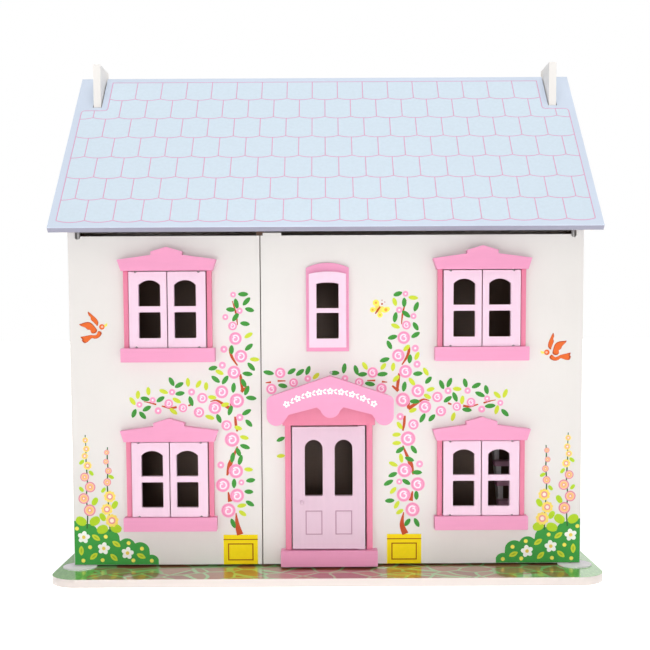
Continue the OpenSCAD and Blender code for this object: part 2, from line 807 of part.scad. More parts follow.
// Front door: two tall lights, two grooved fields, and raised corners at the pins
module front_door() sited() color(pale_pink) difference() {
    back = door_t - door_front;
    translate([door_x, 0, door_z]) difference() {
        upright(-door_front, back) difference() {
            union() {
                translate([-door_w / 2, nub_h]) square([door_w, door_h - 2 * nub_h]);
                translate([door_w / 2 - nub_w, 0]) square([nub_w, door_h]);
            }
            for (x = [-light_dx, light_dx]) {
                translate([x, light_bottom]) rounded(light_w, 20, pane_corner);
                translate([x - light_w / 2, light_bottom + 4])
                    square([light_w, light_top - light_bottom - 4 - light_w / 2]);
                translate([x, light_top - light_w / 2]) circle(d = light_w);
            }
        }
        for (x = [-light_dx, light_dx]) {
            translate([x, 0, field_z]) upright(-door_front - 1, groove_d - door_front) difference() {
                translate([-field_w / 2, 0]) square([field_w, field_h]);
                translate([groove_w - field_w / 2, groove_w])
                    square([field_w - 2 * groove_w, field_h - 2 * groove_w]);
            }
        }
    }
    door_pin_set(run_fit);
    translate([door_left + knob_in, -door_front - 1, door_z + knob_z]) rotate([-90, 0, 0])
        cylinder(r = knob_stem_r + press_fit, h = 6);
}

// Turned knob with a stem in the door
module door_knob() sited() color(pale_pink) {
    translate([door_left + knob_in, -door_front, door_z + knob_z]) rotate([90, 0, 0]) {
        translate([0, 0, -4.9]) cylinder(r = knob_stem_r, h = 5);
        rotate_extrude() polygon([
            [0, 0], [1.6, 0], [1.4, 1.4], [2.3, 2.4], [2.5, 3.3], [2.1, 4.3], [1.1, 4.9], [0, 5]
        ]);
    }
}

base_board();
left_side_wall();
right_side_wall();
lower_back_wall();
upper_back_wall();
first_floor();
attic_floor();
ground_partition();
upper_partition();
left_gable();
right_gable();
stair_stringers();
stair_treads();
carcass_screws();
gable_dowels();
front_pivot_pins();
pivot_washers();
roof_hinge_fixed_leaves();
roof_hinge_pins();
wall_hinge_screws();
roof_panel();
roof_hinge_moving_leaves();
roof_hinge_screws();
left_front_panel();
upper_left_header();
upper_left_jambs();
upper_left_sill();
lower_left_header();
lower_left_jambs();
lower_left_sill();
left_casement_pins();
right_front_panel();
upper_right_header();
upper_right_jambs();
upper_right_sill();
lower_right_header();
lower_right_jambs();
lower_right_sill();
right_casement_pins();
centre_window_frame();
centre_window_sash();
canopy_fascia();
canopy_roof_boards();
canopy_nail();
door_lintel();
door_jambs();
door_step();
door_pins();
upper_left_casement_l();
upper_left_casement_r();
lower_left_casement_l();
lower_left_casement_r();
upper_right_casement_l();
upper_right_casement_r();
lower_right_casement_l();
lower_right_casement_r();
front_door();
door_knob();
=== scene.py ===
import math
import random

import bmesh
import bpy
from mathutils import Matrix, Vector


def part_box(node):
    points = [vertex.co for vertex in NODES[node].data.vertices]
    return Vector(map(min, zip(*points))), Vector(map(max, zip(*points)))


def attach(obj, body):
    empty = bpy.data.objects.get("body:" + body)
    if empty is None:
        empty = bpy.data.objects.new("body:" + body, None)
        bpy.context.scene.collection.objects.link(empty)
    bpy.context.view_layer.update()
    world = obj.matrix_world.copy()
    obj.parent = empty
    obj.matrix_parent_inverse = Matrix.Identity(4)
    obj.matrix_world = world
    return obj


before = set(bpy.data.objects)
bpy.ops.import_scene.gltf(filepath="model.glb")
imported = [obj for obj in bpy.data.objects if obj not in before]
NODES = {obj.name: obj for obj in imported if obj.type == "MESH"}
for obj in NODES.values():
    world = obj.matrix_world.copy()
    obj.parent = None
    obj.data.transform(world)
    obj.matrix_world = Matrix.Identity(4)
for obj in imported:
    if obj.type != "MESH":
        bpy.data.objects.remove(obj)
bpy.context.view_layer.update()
MM = 0.001

# Places that everything else is worked out from, in metres, and the roof's pitch
FRONT_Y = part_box("left_front_panel")[0].y
LAWN_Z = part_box("base_board")[1].z
INNER_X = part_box("right_side_wall")[0].x
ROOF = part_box("roof_panel")
PAVING_END = 0.262
ROOF_PITCH = math.radians(46)
# Half the width of the closed front, in mm like everything printed on it
HALF_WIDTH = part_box("right_front_panel")[1].x / MM

# Noise patterns used by most materials: their scale per metre, and the two values between which they vary
CLOUD_SCALE = 14
STIPPLE_SCALE = 900
NOISE_LOW = 0.3
NOISE_HIGH = 0.7


def linear(hex_code):
    """Linear colour of a screen colour such as "#ece8e5"."""
    values = [int(hex_code[i:i + 2], 16) / 255 for i in (1, 3, 5)]
    return tuple(v / 12.92 if v <= 0.04045 else ((v + 0.055) / 1.055) ** 2.4 for v in values)


CREAM = linear("#e4e0dc")
# A lighter cream than the walls' for the gables and attic floor: painted light, for the brighter light on the
# chimneys.
CHIMNEY_CREAM_PAINTED_LIGHT = linear("#f3efea")
GRASS = linear("#7cc45c")
INSIDE_HEX = "#7d5f4c"
INSIDE = linear(INSIDE_HEX)
INK_COLOURS = {
    "petal": "#f4a2c6", "petal_edge": "#ea8cb2", "blush": "#fcebf3", "bark": "#c4502c",
    "dark_leaf": "#43963c", "lime_leaf": "#cddc3c", "leaf_shadow": "#a9c22f", "fresh_leaf": "#b4d62e",
    "planter": "#f8de10", "planter_line": "#aa5f0a", "hedge": "#43a048", "white_petal": "#fbfbf6",
    "flower_centre": "#f0d75a", "bright_yellow": "#f5eb64", "stem": "#3c6b3c", "dusty_pink": "#e28ca0",
    "peach": "#fabeaa", "apricot": "#facd78", "apricot_spot": "#f0a840", "salmon": "#ea9a98",
    "cream_ink": "#fdebdd", "soft_yellow": "#fadf6e", "orange": "#e86e32", "rust": "#b84a1e",
    "tile_line": "#e3a6cb", "tile_blue": "#dcebf7",
}


# ---------------------------------------------------------------- camera, floor and lights

def make_camera():
    """A catalogue view: nearly straight on, from a little above the middle of the front."""
    data = bpy.data.cameras.new("camera")
    data.lens = 59.7
    data.shift_y = 0.11
    cam = bpy.data.objects.new("camera", data)
    bpy.context.scene.collection.objects.link(cam)
    pitch_down = 0.0717
    roll = -0.0051
    sideways = -0.0017
    distance = 1.212
    above_lawn = 0.2802
    cam.rotation_euler = (
        Matrix.Rotation(math.pi / 2 - pitch_down, 3, "X") @ Matrix.Rotation(roll, 3, "Z")
    ).to_euler()
    cam.location = (sideways, FRONT_Y - distance, LAWN_Z + above_lawn)
    bpy.context.scene.camera = cam


def area_light(name, place, target, size, power, spread=180):
    """A round soft light; a small spread, in degrees, keeps its light on the low walls."""
    data = bpy.data.lights.new(name, "AREA")
    data.shape = "DISK"
    data.size = size
    data.energy = power
    data.spread = math.radians(spread)
    light = bpy.data.objects.new(name, data)
    light.location = place
    light.rotation_euler = (Vector(target) - Vector(place)).to_track_quat("-Z", "Y").to_euler()
    bpy.context.scene.collection.objects.link(light)


def show_white(tree):
    """The camera sees a pure white surround, while the light from it stays softer."""
    seen = tree.nodes.new("ShaderNodeBackground")
    path = tree.nodes.new("ShaderNodeLightPath")
    either = tree.nodes.new("ShaderNodeMixShader")
    tree.links.new(path.outputs["Is Camera Ray"], either.inputs["Fac"])
    tree.links.new(tree.nodes["Background"].outputs["Background"], either.inputs[1])
    tree.links.new(seen.outputs["Background"], either.inputs[2])
    seen.inputs["Color"].default_value = (1, 1, 1, 1)
    tree.links.new(either.outputs["Shader"], tree.nodes["World Output"].inputs["Surface"])


def make_studio():
    """A pale floor that fades into a white surround, with large soft lights."""
    world_light = 0.45
    floor_radius = 14
    near = 0.42
    far = 0.95
    near_glow = 0.5
    far_glow = 1
    bpy.context.scene.view_settings.view_transform = "Standard"
    world = bpy.data.worlds.new("studio")
    world.use_nodes = True
    world.node_tree.nodes["Background"].inputs["Color"].default_value = (1, 1, 1, 1)
    world.node_tree.nodes["Background"].inputs["Strength"].default_value = world_light
    bpy.context.scene.world = world
    show_white(world.node_tree)
    mesh = bpy.data.meshes.new("floor")
    floor = bpy.data.objects.new("floor", mesh)
    grid = bmesh.new()
    bmesh.ops.create_circle(grid, cap_ends=True, radius=floor_radius, segments=96)
    grid.to_mesh(mesh)
    grid.free()
    mat, nodes, links, shader = new_material("floor_white", (0.93, 0.93, 0.93), 0.9)
    away = nodes.new("ShaderNodeVectorMath")
    away.operation = "LENGTH"
    links.new(object_coords(nodes), away.inputs[0])
    glow = span(nodes, links, away.outputs["Value"], near, far, near_glow, far_glow)
    links.new(glow, shader.inputs["Emission Strength"])
    shader.inputs["Emission Color"].default_value = (1, 1, 1, 1)
    mesh.materials.append(mat)
    bpy.context.scene.collection.objects.link(floor)
    area_light("key", (-1.1, -2.5, 0.9), (0, 0, 0.1), 1.8, 4)
    area_light("fill", (1.9, -2.2, 0.8), (0, 0, 0.1), 1.8, 2.5)
    area_light("low_front", (0.1, -2.1, 0.2), (0, -0.1, 0), 0.7, 0.25, spread=16)
    area_light("top", (0.1, -0.6, 3.0), (0, 0, 0.3), 2.6, 30)
    area_light("back", (0.6, 2.6, 1.6), (0, 0, 0.3), 2.2, 8)


# ---------------------------------------------------------------- materials

def new_material(name, colour, roughness):
    mat = bpy.data.materials.new(name)
    mat.use_nodes = True
    nodes = mat.node_tree.nodes
    links = mat.node_tree.links
    shader = nodes["Principled BSDF"]
    shader.inputs["Base Color"].default_value = (*colour, 1)
    shader.inputs["Roughness"].default_value = roughness
    return mat, nodes, links, shader


def shade(colour, factor):
    return tuple(min(1.0, c * factor) for c in colour)


def object_coords(nodes):
    return nodes.new("ShaderNodeTexCoord").outputs["Object"]


def scaled(nodes, links, source, scale):
    mapping = nodes.new("ShaderNodeMapping")
    mapping.inputs["Scale"].default_value = scale
    links.new(source, mapping.inputs["Vector"])
    return mapping.outputs["Vector"]


def noise(nodes, links, source, scale, detail=2.0, roughness=0.5):
    tex = nodes.new("ShaderNodeTexNoise")
    tex.inputs["Scale"].default_value = scale
    tex.inputs["Detail"].default_value = detail
    tex.inputs["Roughness"].default_value = roughness
    links.new(source, tex.inputs["Vector"])
    return tex.outputs["Fac"]


def ramp(nodes, links, source, stops):
    tex = nodes.new("ShaderNodeValToRGB")
    while len(tex.color_ramp.elements) < len(stops):
        tex.color_ramp.elements.new(0.5)
    for element, (place, colour) in zip(tex.color_ramp.elements, stops):
        element.position = place
        element.color = (*colour, 1)
    links.new(source, tex.inputs["Fac"])
    return tex.outputs["Color"]


def mix(nodes, links, factor, first, second, kind="MIX"):
    node = nodes.new("ShaderNodeMix")
    node.data_type = "RGBA"
    node.blend_type = kind
    for socket, value in ((node.inputs[0], factor), (node.inputs[6], first), (node.inputs[7], second)):
        if isinstance(value, (int, float)):
            socket.default_value = value
        elif isinstance(value, tuple):
            socket.default_value = (*value, 1)
        else:
            links.new(value, socket)
    return node.outputs[2]


def span(nodes, links, source, low, high, to_low, to_high):
    """Maps a number from one range to another and holds it there."""
    node = nodes.new("ShaderNodeMapRange")
    node.inputs["From Min"].default_value = low
    node.inputs["From Max"].default_value = high
    node.inputs["To Min"].default_value = to_low
    node.inputs["To Max"].default_value = to_high
    links.new(source, node.inputs["Value"])
    return node.outputs["Result"]


def tinted(nodes, links, source, colour, darkest, brightest):
    """A colour that a noise makes darker and brighter by these factors."""
    stops = [(NOISE_LOW, shade(colour, darkest)), (NOISE_HIGH, shade(colour, brightest))]
    return ramp(nodes, links, source, stops)


def bump(nodes, links, shader, height, strength, distance):
    node = nodes.new("ShaderNodeBump")
    node.inputs["Strength"].default_value = strength
    node.inputs["Distance"].default_value = distance
    links.new(height, node.inputs["Height"])
    links.new(node.outputs["Normal"], shader.inputs["Normal"])


def paint(name, colour, grain=(1, 1, 1), roughness=0.42, coat=0.0, grain_depth=0.35):
    """Satin paint on wood: cloudy colour, roller stipple and the wood's grain showing through a little."""
    mat, nodes, links, shader = new_material(name, colour, roughness)
    coords = object_coords(nodes)
    clouds = noise(nodes, links, coords, CLOUD_SCALE, 3)
    stipple = noise(nodes, links, coords, STIPPLE_SCALE, 2)
    fibres = noise(nodes, links, scaled(nodes, links, coords, grain), 260, 4, 0.6)
    cloudy = tinted(nodes, links, clouds, colour, 0.975, 1.015)
    fibre_tone = ramp(nodes, links, fibres, [(0.35, (0.93, 0.93, 0.93)), (0.65, (1.0, 1.0, 1.0))])
    links.new(mix(nodes, links, grain_depth, cloudy, fibre_tone, "MULTIPLY"), shader.inputs["Base Color"])
    glossiness = span(nodes, links, clouds, NOISE_LOW, NOISE_HIGH, roughness - 0.05, roughness + 0.06)
    links.new(glossiness, shader.inputs["Roughness"])
    relief = mix(nodes, links, 0.5, stipple, fibres)
    bump(nodes, links, shader, relief, 0.16, 0.0004)
    shader.inputs["Coat Weight"].default_value = coat
    shader.inputs["Coat Roughness"].default_value = 0.12
    return mat


def metal(name, colour, roughness):
    """Bare metal with fine scratches along its length."""
    mat, nodes, links, shader = new_material(name, colour, roughness)
    shader.inputs["Metallic"].default_value = 1
    coords = object_coords(nodes)
    scratches = noise(nodes, links, scaled(nodes, links, coords, (1, 1, 0.06)), 1500, 3)
    brushed = span(nodes, links, scratches, NOISE_LOW, NOISE_HIGH, roughness - 0.1, roughness + 0.14)
    links.new(brushed, shader.inputs["Roughness"])
    links.new(tinted(nodes, links, scratches, colour, 0.8, 1), shader.inputs["Base Color"])
    bump(nodes, links, shader, scratches, 0.1, 0.0002)
    return mat


def axis(nodes, links, coords, which):
    node = nodes.new("ShaderNodeSeparateXYZ")
    links.new(coords, node.inputs["Vector"])
    return node.outputs[which]


def math_node(nodes, links, kind, first, second=None):
    node = nodes.new("ShaderNodeMath")
    node.operation = kind
    for socket, value in zip(node.inputs, (first, second)):
        if isinstance(value, (int, float)):
            socket.default_value = value
        elif value is not None:
            links.new(value, socket)
    return node.outputs["Value"]


def two_tone(name, outside, inside, along, limit, absolute=False):
    """Outside paint where a board's coordinate is beyond a limit, inside paint on the side of the rooms."""
    mat, nodes, links, shader = new_material(name, outside, 0.45)
    coords = object_coords(nodes)
    value = axis(nodes, links, coords, along)
    if absolute:
        value = math_node(nodes, links, "ABSOLUTE", value)
    mask = math_node(nodes, links, "GREATER_THAN", value, limit)
    clouds = noise(nodes, links, coords, CLOUD_SCALE, 3)
    tone = tinted(nodes, links, clouds, (1.0, 1.0, 1.0), 0.98, 1)
    both = mix(nodes, links, mask, inside, outside)
    links.new(mix(nodes, links, 0.8, both, tone, "MULTIPLY"), shader.inputs["Base Color"])
    bump(nodes, links, shader, noise(nodes, links, coords, STIPPLE_SCALE, 2), 0.14, 0.0004)
    return mat


def base_print():
    """Lacquered print on the base board: crazy paving between two lawns, plain indoors, cream edges."""
    stones_per_metre = 32
    joint_start = 0.035
    joint_end = 0.06
    lawn_waver = 0.004
    behind_front = 0.0095
    wall_overlap = 0.0005
    under_top = 0.0001
    mat, nodes, links, shader = new_material("base_print", GRASS, 0.3)
    coords = object_coords(nodes)
    x = axis(nodes, links, coords, "X")
    y = axis(nodes, links, coords, "Y")
    z = axis(nodes, links, coords, "Z")
    wobble = noise(nodes, links, coords, 30, 2)
    crooked = nodes.new("ShaderNodeVectorMath")
    crooked.operation = "MULTIPLY_ADD"
    links.new(scaled(nodes, links, coords, (1, 1.25, 0)), crooked.inputs[0])
    crooked.inputs[1].default_value = (stones_per_metre,) * 3
    links.new(mix(nodes, links, wobble, (0.0, 0.0, 0.0), (0.5, 0.3, 0.0)), crooked.inputs[2])
    cells = nodes.new("ShaderNodeTexVoronoi")
    cells.inputs["Scale"].default_value = 1
    cells.inputs["Randomness"].default_value = 0.9
    joints = nodes.new("ShaderNodeTexVoronoi")
    joints.feature = "DISTANCE_TO_EDGE"
    joints.inputs["Scale"].default_value = 1
    joints.inputs["Randomness"].default_value = 0.9
    for tex in (cells, joints):
        links.new(crooked.outputs["Vector"], tex.inputs["Vector"])
    cell_tone = axis(nodes, links, cells.outputs["Color"], "X")
    stone = ramp(nodes, links, cell_tone, [(0.1, linear("#94553c")), (0.4, linear("#a9684a")),
                                           (0.65, linear("#a06c3c")), (0.9, linear("#b08062"))])
    mottle = ramp(nodes, links, noise(nodes, links, coords, 220, 4, 0.65),
                  [(0.3, (0.8, 0.8, 0.8)), (0.7, (1.08, 1.05, 1.02))])
    stone = mix(nodes, links, 0.7, stone, mottle, "MULTIPLY")
    gap = span(nodes, links, joints.outputs["Distance"], joint_start, joint_end, 0, 1)
    paving = mix(nodes, links, gap, linear("#8fc97c"), stone)
    blades = noise(nodes, links, scaled(nodes, links, coords, (1, 0.4, 1)), 420, 4, 0.6)
    lawn = ramp(nodes, links, blades, [(0.3, linear("#62ad4a")), (0.55, GRASS), (0.75, linear("#94d276"))])
    edge = span(nodes, links, wobble, NOISE_LOW, NOISE_HIGH, PAVING_END - lawn_waver, PAVING_END + lawn_waver)
    outer = math_node(nodes, links, "GREATER_THAN", math_node(nodes, links, "ABSOLUTE", x), edge)
    printed = mix(nodes, links, outer, paving, lawn)
    behind = math_node(nodes, links, "GREATER_THAN", y, FRONT_Y + behind_front)
    off_middle = math_node(nodes, links, "ABSOLUTE", x)
    within = math_node(nodes, links, "LESS_THAN", off_middle, INNER_X + wall_overlap)
    indoors = math_node(nodes, links, "MULTIPLY", behind, within)
    printed = mix(nodes, links, indoors, printed, linear(INSIDE_HEX))
    top = math_node(nodes, links, "GREATER_THAN", z, LAWN_Z - under_top)
    links.new(mix(nodes, links, top, linear("#e6dcd6"), printed), shader.inputs["Base Color"])
    wet = math_node(nodes, links, "SUBTRACT", top, math_node(nodes, links, "MULTIPLY", top, indoors))
    links.new(span(nodes, links, wet, 0, 1, 0.15, 1), shader.inputs["Coat Weight"])
    shader.inputs["Coat Roughness"].default_value = 0.03
    bump(nodes, links, shader, noise(nodes, links, coords, 60, 2), 0.05, 0.0004)
    return mat


def shaded_door_paint():
    """Pale pink, darker than the casements' pink as painted shade from the canopy, with more painted shade on
    the floor of the milled grooves, which lies between these two depths.
    """
    groove_high = 0.0006
    groove_low = 0.0009
    # The door's pink is darker than the casements' as painted shade from the canopy.
    mat = paint("door_pink_shaded_paint", linear("#dfc0d1"), (1, 1, 0.1))
    nodes = mat.node_tree.nodes
    links = mat.node_tree.links
    shader = nodes["Principled BSDF"]
    y = axis(nodes, links, object_coords(nodes), "Y")
    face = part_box("front_door")[0].y
    deep_enough = math_node(nodes, links, "GREATER_THAN", y, face + groove_high)
    not_deeper = math_node(nodes, links, "LESS_THAN", y, face + groove_low)
    groove_shade_mask = math_node(nodes, links, "MULTIPLY", deep_enough, not_deeper)
    flat = shader.inputs["Base Color"].links[0].from_socket
    # Painted shade: a darker pink on the groove floors.
    links.new(mix(nodes, links, groove_shade_mask, flat, linear("#b98ba3")), shader.inputs["Base Color"])
    return mat


def roof_paint():
    """Sky blue on the slope, and a greyer blue painted on the cut edges and underneath as their shade."""
    skin = 0.6
    mat = paint("sky_paint", linear("#d7e3f4"), (0.1, 1, 1), grain_depth=0.12)
    nodes = mat.node_tree.nodes
    links = mat.node_tree.links
    shader = nodes["Principled BSDF"]
    depth = nodes.new("ShaderNodeVectorMath")
    depth.operation = "DOT_PRODUCT"
    links.new(object_coords(nodes), depth.inputs[0])
    upwards = Vector((0, -math.sin(ROOF_PITCH), math.cos(ROOF_PITCH)))
    depth.inputs[1].default_value = upwards
    limit = on_roof(0, 0, -skin).dot(upwards)
    on_top = math_node(nodes, links, "GREATER_THAN", depth.outputs["Value"], limit)
    slope = shader.inputs["Base Color"].links[0].from_socket
    # The greyer blue is painted shade on the cut edges and the underside.
    links.new(mix(nodes, links, on_top, linear("#9a9aac"), slope), shader.inputs["Base Color"])
    return mat


def plastic(name, colour):
    """Thin moulded polyethylene, a little cloudy."""
    mat, nodes, links, shader = new_material(name, colour, 0.6)
    shader.inputs["Specular IOR Level"].default_value = 0.2
    coords = object_coords(nodes)
    haze = noise(nodes, links, coords, 120, 3)
    links.new(tinted(nodes, links, haze, colour, 0.95, 1.03), shader.inputs["Base Color"])
    bump(nodes, links, shader, haze, 0.06, 0.0003)
    return mat


def bare_wood(name):
    """Unpainted wood with fine grain along its length."""
    mat, nodes, links, shader = new_material(name, linear("#d8b98a"), 0.6)
    coords = object_coords(nodes)
    grain = noise(nodes, links, scaled(nodes, links, coords, (1, 1, 0.08)), 500, 5, 0.65)
    stops = [(NOISE_LOW, linear("#b98f5c")), (NOISE_HIGH, linear("#e3c79b"))]
    links.new(ramp(nodes, links, grain, stops), shader.inputs["Base Color"])
    bump(nodes, links, shader, grain, 0.2, 0.0003)
    return mat


def ink(name, hex_code):
    """Printed enamel: even colour with a faint mottle and hardly any sheen."""
    colour = linear(hex_code)
    mat, nodes, links, shader = new_material(name, colour, 0.5)
    shader.inputs["Specular IOR Level"].default_value = 0.12
    coords = object_coords(nodes)
    mottle = noise(nodes, links, coords, 260, 3)
    links.new(tinted(nodes, links, mottle, colour, 0.975, 1.015), shader.inputs["Base Color"])
    bump(nodes, links, shader, noise(nodes, links, coords, STIPPLE_SCALE, 2), 0.08, 0.0003)
    return mat


def give(node, mat):
    materials = NODES[node].data.materials
    materials.clear()
    materials.append(mat)


def soften(node, width=0.5, segments=2):
    """Rounds a board's edges a little, as sanded and painted wood has them."""
    obj = NODES[node]
    weld = obj.modifiers.new("weld", "WELD")
    weld.merge_threshold = 0.00001
    bevel = obj.modifiers.new("eased_edges", "BEVEL")
    bevel.width = width * MM
    bevel.segments = segments
    bevel.limit_method = "ANGLE"
    bevel.angle_limit = math.radians(40)
    bevel.harden_normals = True


def finish_nodes():
    """Paint, print and bare metal for every part of the construction."""
    cream = paint("cream_paint", CREAM, (1, 1, 0.12), grain_depth=0.08)
    cream_painted_light = paint("cream_painted_light_paint", CHIMNEY_CREAM_PAINTED_LIGHT, (0.1, 1, 1), grain_depth=0.08)
    rose = paint("rose_paint", linear("#ec99bf"), (0.1, 1, 1))
    dusty = paint("dusty_rose_paint", linear("#e6809f"), (1, 1, 0.1))
    pale = paint("pale_pink_paint", linear("#f0cfe2"), (1, 1, 0.1))
    door = shaded_door_paint()
    rooms = paint("room_paint", INSIDE, (0.1, 1, 1))
    steel = metal("pin_steel", (0.42, 0.41, 0.40), 0.35)
    zinc = metal("screw_zinc", (0.62, 0.61, 0.58), 0.3)
    for node in NODES:
        give(node, cream)
        if node.endswith(("_header", "_sill", "_step")) or node.startswith("canopy"):
            give(node, rose)
        if node.endswith(("_jambs", "_lintel")):
            give(node, dusty)
        if "_casement_" in node or node == "centre_window_sash":
            give(node, pale)
        if node in ("front_door", "door_knob"):
            give(node, door)
        if node.endswith("_pins") or node == "canopy_nail":
            give(node, steel)
        if node.endswith(("_screws", "_leaves")):
            give(node, zinc)
    for node in ("first_floor", "ground_partition", "upper_partition"):
        give(node, rooms)
    # The gables and attic floor get the lighter cream, painted light for the brighter light on the chimneys.
    for node in ("attic_floor", "left_gable", "right_gable"):
        give(node, cream_painted_light)
    side = two_tone("side_wall_paint", CREAM, INSIDE, "X", INNER_X + 0.0004, True)
    back = two_tone("back_wall_paint", CREAM, INSIDE, "Y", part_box("lower_back_wall")[0].y + 0.0004)
    give("left_side_wall", side)
    give("right_side_wall", side)
    give("lower_back_wall", back)
    give("centre_window_frame", rose)
    give("roof_panel", roof_paint())
    give("stair_stringers", paint("stair_white", linear("#f3f0ee"), (1, 0.2, 1)))
    give("stair_treads", paint("stair_tread_paint", linear("#d9a3bd"), (0.1, 1, 1)))
    give("pivot_washers", plastic("washer_plastic", linear("#f7f3f8")))
    give("gable_dowels", bare_wood("dowel_wood"))
    give("base_board", base_print())
    for node in NODES:
        if not node.endswith(("_pins", "_screws", "_leaves", "_nail", "_dowels", "_knob", "_washers")):
            soften(node)


# ---------------------------------------------------------------- printed decoration

def on_front(x, z, out):
    """A place on the front panels: mm from the middle, above the base board and out from the board."""
    return Vector((x * MM, FRONT_Y - out * MM, LAWN_Z + z * MM))


def on_canopy(x, z, out):
    return on_front(x, z, out) + Vector((0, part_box("canopy_fascia")[0].y - FRONT_Y, 0))


def on_roof(x, s, out):
    """A place on the roof panel: mm from the middle, up the slope from the eave and out from the board."""
    rise = (ROOF[1].y - ROOF[0].y) * math.tan(ROOF_PITCH)
    along = s * math.cos(ROOF_PITCH) - out * math.sin(ROOF_PITCH)
    up = s * math.sin(ROOF_PITCH) + out * math.cos(ROOF_PITCH)
    return Vector((x * MM, ROOF[0].y + along * MM, ROOF[1].z - rise + up * MM))


class Drawing:
    """Printed shapes on one board, as thin closed solids whose backs lie just inside the board. A higher
    layer lies in front; within a layer, small steps keep shapes that overlap from sharing a plane."""

    FIRST_OUT = 0.06
    LAYER = 0.05
    STEP = 0.009
    STEPS = 5
    BACK = -0.05

    def __init__(self, name, body, slot, surface, across=None):
        self.name = name
        self.body = body
        self.slot = slot
        self.surface = surface
        self.across = across or (lambda x: x)
        self.grid = bmesh.new()
        self.inks = []
        self.count = 0

    def solid(self, points, tiles, colour, layer):
        """A flat solid with this outline, its front made of these tiles of point numbers."""
        if colour not in self.inks:
            self.inks.append(colour)
        points = [(self.across(x), z) for x, z in points]
        area = sum(a[0] * b[1] - b[0] * a[1] for a, b in zip(points, points[1:] + points[:1]))
        out = self.FIRST_OUT + self.LAYER * layer + self.STEP * (self.count % self.STEPS)
        self.count += 1
        front = [self.grid.verts.new(self.surface(x, z, out)) for x, z in points]
        back = [self.grid.verts.new(self.surface(x, z, self.BACK)) for x, z in points]
        faces = []
        for tile in tiles:
            faces.append([front[i] for i in tile])
            faces.append([back[i] for i in reversed(tile)])
        for i in range(len(points)):
            j = (i + 1) % len(points)
            faces.append([front[j], front[i], back[i], back[j]])
        for corners in faces:
            if area < 0:
                corners.reverse()
            self.grid.faces.new(corners).material_index = self.inks.index(colour)

    def shape(self, outline, colour, layer=0):
        """A shape without deep bays, such as a disc or a leaf."""
        self.solid(outline, [list(range(len(outline)))], colour, layer)

    def strip(self, first, second, colour, layer=0):
        """A shape between two edges that have the same number of points."""
        n = len(first)
        tiles = [[i, i + 1, 2 * n - 2 - i, 2 * n - 1 - i] for i in range(n - 1)]
        self.solid(first + second[::-1], tiles, colour, layer)

    def stroke(self, points, colour, layer=0, steps=5):
        """A brush stroke through (x, z, width) points."""
        path = smooth(points, steps=steps)
        left = []
        right = []
        for i, (x, z, width) in enumerate(path):
            ahead = path[min(i + 1, len(path) - 1)]
            behind = path[max(i - 1, 0)]
            dx = ahead[0] - behind[0]
            dz = ahead[1] - behind[1]
            half = max(width, 0.2) / 2 / math.hypot(dx, dz)
            left.append((x - dz * half, z + dx * half))
            right.append((x + dz * half, z - dx * half))
        self.strip(left, right, colour, layer)

    def done(self):
        """Turns the shapes into one piece that rides on its board's body."""
        mesh = bpy.data.meshes.new(self.name)
        self.grid.to_mesh(mesh)
        self.grid.free()
        for colour in self.inks:
            mesh.materials.append(INKS[colour])
        obj = bpy.data.objects.new(self.name, mesh)
        bpy.context.scene.collection.objects.link(obj)
        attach(obj, self.body)


def turned(points, x, z, angle=0.0, size=1.0):
    """Points drawn round the origin, turned by an angle in degrees, sized and moved to a place."""
    c = math.cos(math.radians(angle)) * size
    s = math.sin(math.radians(angle)) * size
    return [(x + c * px - s * pz, z + s * px + c * pz) for px, pz in points]


def disc(x, z, r, flat=1.0, angle=0.0, count=20):
    angles = [2 * math.pi * i / count for i in range(count)]
    return turned([(r * math.cos(a), r * flat * math.sin(a)) for a in angles], x, z, angle)


def leaf_outline(x, z, length, width, angle, plump=0.8):
    """A leaf with two pointed ends."""
    side = [math.pi * i / 8 for i in range(1, 8)]
    upper = [(length / 2 * math.cos(a), width / 2 * math.sin(a) ** (2 * plump)) for a in side]
    lower = [(px, -pz) for px, pz in reversed(upper)]
    return turned([(length / 2, 0)] + upper + [(-length / 2, 0)] + lower, x, z, angle)


def petals(x, z, r, lobes, depth, angle=90.0):
    """A flower's outline: round lobes with sharp creases between them."""
    count = lobes * 8
    points = []
    for i in range(count):
        a = 2 * math.pi * i / count
        reach = r * (1 - depth * (1 - abs(math.cos(lobes * a / 2))))
        points.append((reach * math.cos(a), reach * math.sin(a)))
    return turned(points, x, z, angle)


def smooth(points, closed=False, steps=5):
    """A curve through these points; any further numbers of a point, such as widths, are carried along."""
    n = len(points)
    curve = []
    for i in range(n if closed else n - 1):
        around = [i - 1, i, i + 1, i + 2]
        if closed:
            around = [k % n for k in around]
        else:
            around = [min(max(k, 0), n - 1) for k in around]
        before, start, end, after = (points[k] for k in around)
        for step in range(steps):
            t = step / steps
            curve.append(tuple(
                0.5 * (2 * b + (c - a) * t + (2 * a - 5 * b + 4 * c - d) * t * t
                       + (3 * b - a - 3 * c + d) * t * t * t)
                for a, b, c, d in zip(before, start, end, after)))
    if not closed:
        curve.append(tuple(points[-1]))
    return curve


def bar(x0, z0, x1, z1):
    return [(x0, z0), (x1, z0), (x1, z1), (x0, z1)]


# ---------------------------------------------------------------- roses

# The climbing rose beside the door: (x, z, radius), for the right-hand one
BLOOMS = [(86, 189, 8.2), (92, 145, 8.4), (88, 109, 8.2), (103, 93, 8), (87, 81, 8), (97, 64, 8.2),
          (89, 221, 7.4), (103, 199, 7.4), (111, 181, 7.2), (81, 239, 7.2), (87, 259, 7.2),
          (125, 192, 6), (129, 176, 6), (98, 161, 6), (90, 273, 5), (147, 181, 5), (163, 186, 5)]
BUDS = [(89, 308, 3.2), (82, 290, 3.6), (98, 283, 3.4), (100, 247, 4), (102, 229, 4), (83, 170, 4.2),
        (105, 116, 4), (82, 96, 3.4), (137, 199, 4), (159, 199, 3.6), (175, 178, 4), (181, 190, 3.4),
        (196, 185, 3.4)]
